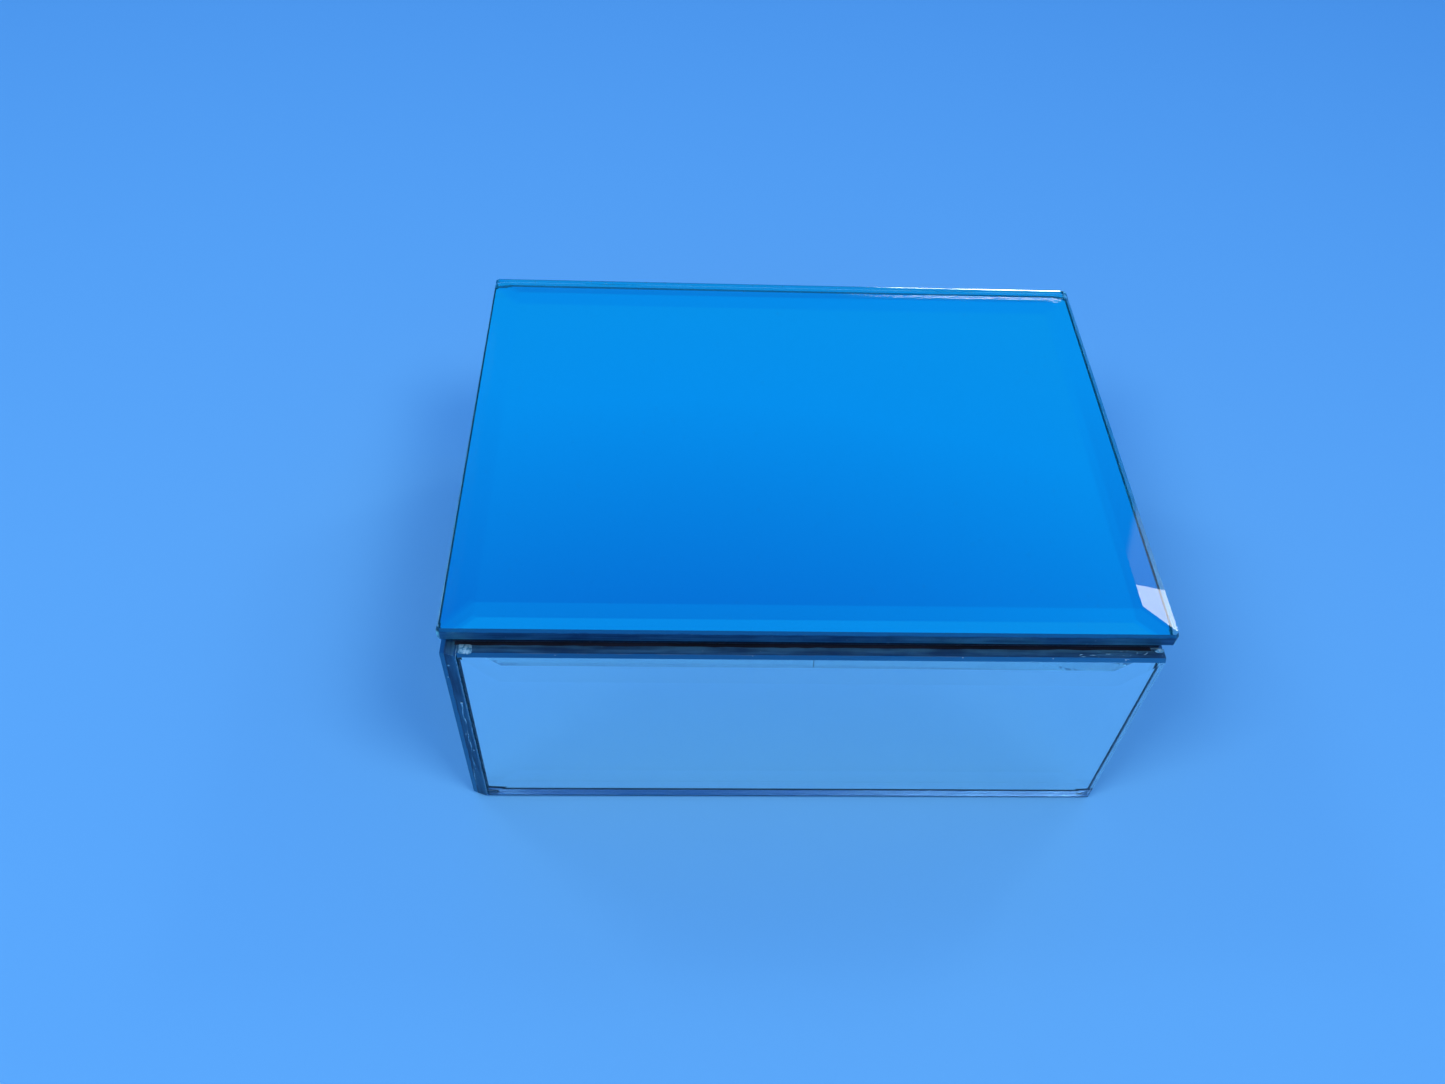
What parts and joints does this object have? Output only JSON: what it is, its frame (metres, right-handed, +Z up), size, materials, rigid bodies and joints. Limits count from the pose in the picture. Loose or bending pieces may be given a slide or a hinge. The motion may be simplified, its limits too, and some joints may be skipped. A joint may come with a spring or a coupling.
{
  "type": "mirrored trinket box",
  "caption": "Rectangular trinket box of bevelled mirror panels with a hinged bevelled mirror lid and a dark velvet lining.",
  "frame": {"origin": "on the surface the box stands on, under the middle of the closed box with its hinges", "axes": "+X to the right along the box's width, +Y towards the hinges at the back, +Z up"},
  "size_m": [0.1876, 0.15, 0.0798],
  "materials": {
    "mirror_glass": "polished bevelled float glass, silvered behind",
    "clear_adhesive": "clear cured adhesive",
    "backing_board": "fibreboard stained black",
    "velvet": "short black velvet",
    "felt": "black felt",
    "hinge_metal": "nickel-plated pressed steel",
    "screw_metal": "nickel-plated countersunk screws"
  },
  "bodies": {
    "box": {"front_mirror": "mirror_glass", "back_mirror": "mirror_glass", "left_mirror": "mirror_glass", "right_mirror": "mirror_glass", "corner_adhesive": "clear_adhesive", "front_board": "backing_board", "back_board": "backing_board", "left_board": "backing_board", "right_board": "backing_board", "base_board": "backing_board", "front_lining": "velvet", "back_lining": "velvet", "left_lining": "velvet", "right_lining": "velvet", "floor_pad": "velvet", "base_felt": "felt", "left_hinge_leaf": "hinge_metal", "right_hinge_leaf": "hinge_metal", "left_hinge_pin": "hinge_metal", "right_hinge_pin": "hinge_metal", "hinge_screws": "screw_metal"},
    "lid": {"lid_mirror": "mirror_glass", "lid_board": "velvet", "lid_pad": "velvet", "left_lid_leaf": "hinge_metal", "right_lid_leaf": "hinge_metal"}
  },
  "joints": [
    {"name": "lid_hinge", "type": "hinge", "parent": "box", "child": "lid", "pos_m": [-0.00085, 0.07255, 0.0739], "axis": [-1, 0, 0], "range_deg": [0, 100]}
  ]
}
